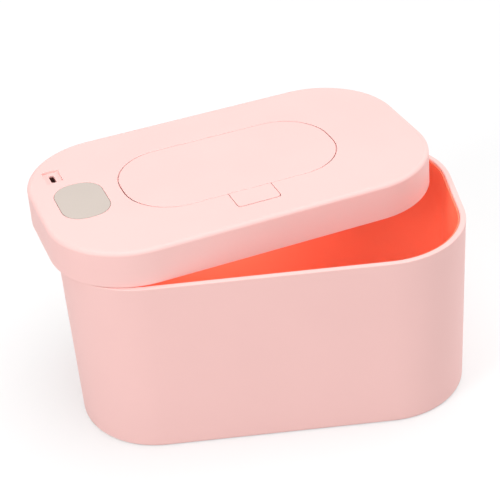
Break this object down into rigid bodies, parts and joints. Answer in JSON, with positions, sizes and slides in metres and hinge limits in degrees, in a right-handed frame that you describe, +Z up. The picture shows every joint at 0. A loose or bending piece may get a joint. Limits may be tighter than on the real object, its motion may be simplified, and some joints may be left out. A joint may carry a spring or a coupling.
{
  "type": "baby wipe warmer",
  "caption": "Rounded tub with a coloured liner and a loose heated lid lying askew on its rim, with a hinged dispensing flap, release button, touch window and charging port.",
  "frame": {"origin": "centre of the flat underside of the tub, on the surface it stands on", "axes": "+X to the right along the tub's length, +Y to the back, +Z up"},
  "size_m": [0.2142, 0.1517, 0.1148],
  "materials": {
    "tub_pink": "satin moulded polypropylene, pale pink",
    "lid_pink": "satin moulded plastic, paler pink",
    "liner_orange": "satin moulded plastic, orange-red",
    "window_greige": "satin tinted plastic, warm grey",
    "silicone": "soft matte silicone, off-white",
    "aluminium": "brushed sheet",
    "film": "amber heater film",
    "felt": "white needle felt",
    "board": "green solder mask",
    "chip": "black moulded resin",
    "steel": "bright plated steel",
    "digits": "milky plastic",
    "wire_red": "red wire insulation"
  },
  "bodies": {
    "tub": {"tub_shell": "tub_pink", "inner_liner": "liner_orange"},
    "lift_screw": {"corner_screw": "steel"},
    "lid": {"lid_shell": "lid_pink", "lid_base": "tub_pink", "dispenser_tray": "lid_pink", "soft_mouth": "silicone", "heater_plate": "aluminium", "heater_film": "film", "insulation_felt": "felt", "thermistor": "chip", "thermal_fuse": "steel", "main_board": "board", "main_chips": "chip", "display_board": "board", "digit_display": "digits", "touch_spring": "steel", "touch_window": "window_greige", "port_board": "board", "port_socket": "steel", "wires": "wire_red", "board_screws": "steel", "lid_screws": "steel", "hinge_pin": "steel", "flap_spring": "steel", "button_spring": "steel"},
    "flap": {"flap_door": "lid_pink", "flap_seal": "silicone"},
    "button": {"release_button": "lid_pink"}
  },
  "joints": [
    {"name": "lid_lift", "type": "slide", "parent": "tub", "child": "lift_screw", "axis": [0, 0, 1], "range_m": [0, 0.08]},
    {"name": "lid_turn", "type": "hinge", "parent": "lift_screw", "child": "lid", "pos_m": [-0.067, -0.032, 0.0962], "axis": [0, 0, 1], "range_deg": [-17.3, 0]},
    {"name": "flap_open", "type": "hinge", "parent": "lid", "child": "flap", "pos_m": [-0.02269, 0.05103, 0.1112], "axis": [-0.9548, -0.2974, 0], "range_deg": [0, 100]},
    {"name": "button_press", "type": "slide", "parent": "lid", "child": "button", "axis": [0, 0, -1], "range_m": [0, 0.0015], "stiffness_N_per_m": 300, "springref_m": -0.002, "deforming": ["button_spring"]}
  ]
}
